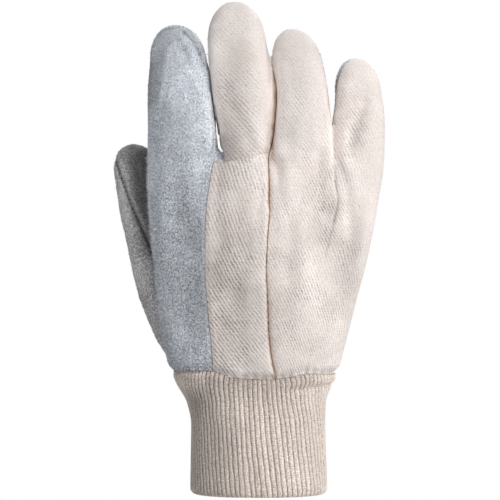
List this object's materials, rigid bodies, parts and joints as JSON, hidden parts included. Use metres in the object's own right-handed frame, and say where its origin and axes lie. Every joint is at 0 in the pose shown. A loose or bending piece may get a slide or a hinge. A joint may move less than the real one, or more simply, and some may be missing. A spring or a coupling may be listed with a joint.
{
  "type": "work glove",
  "caption": "Right-hand work glove in its worn form: split leather palm, thumb and index finger, cotton drill back, ribbed knit wrist.",
  "frame": {"origin": "centre of the wrist opening, at the hem of the knit wrist", "axes": "+Z from the wrist to the fingertips, -Y the back of the hand, +Y the palm, -X the thumb side"},
  "size_m": [0.14, 0.0729, 0.251],
  "materials": {
    "palm_split_leather": "grey split leather with a short nap",
    "index_split_leather": "blue-grey split leather with a short nap",
    "thumb_split_leather": "grey split leather with a short nap",
    "cotton_drill": "natural cotton drill, twill weave",
    "rib_knit": "natural cotton rib knit"
  },
  "bodies": {
    "root": {"palm_leather": "palm_split_leather", "index_leather": "index_split_leather", "thumb_inner_leather": "thumb_split_leather", "thumb_outer_leather": "thumb_split_leather", "middle_finger_back": "cotton_drill", "inner_back_panel": "cotton_drill", "outer_back_panel": "cotton_drill", "knit_wrist": "rib_knit"}
  },
  "joints": []
}
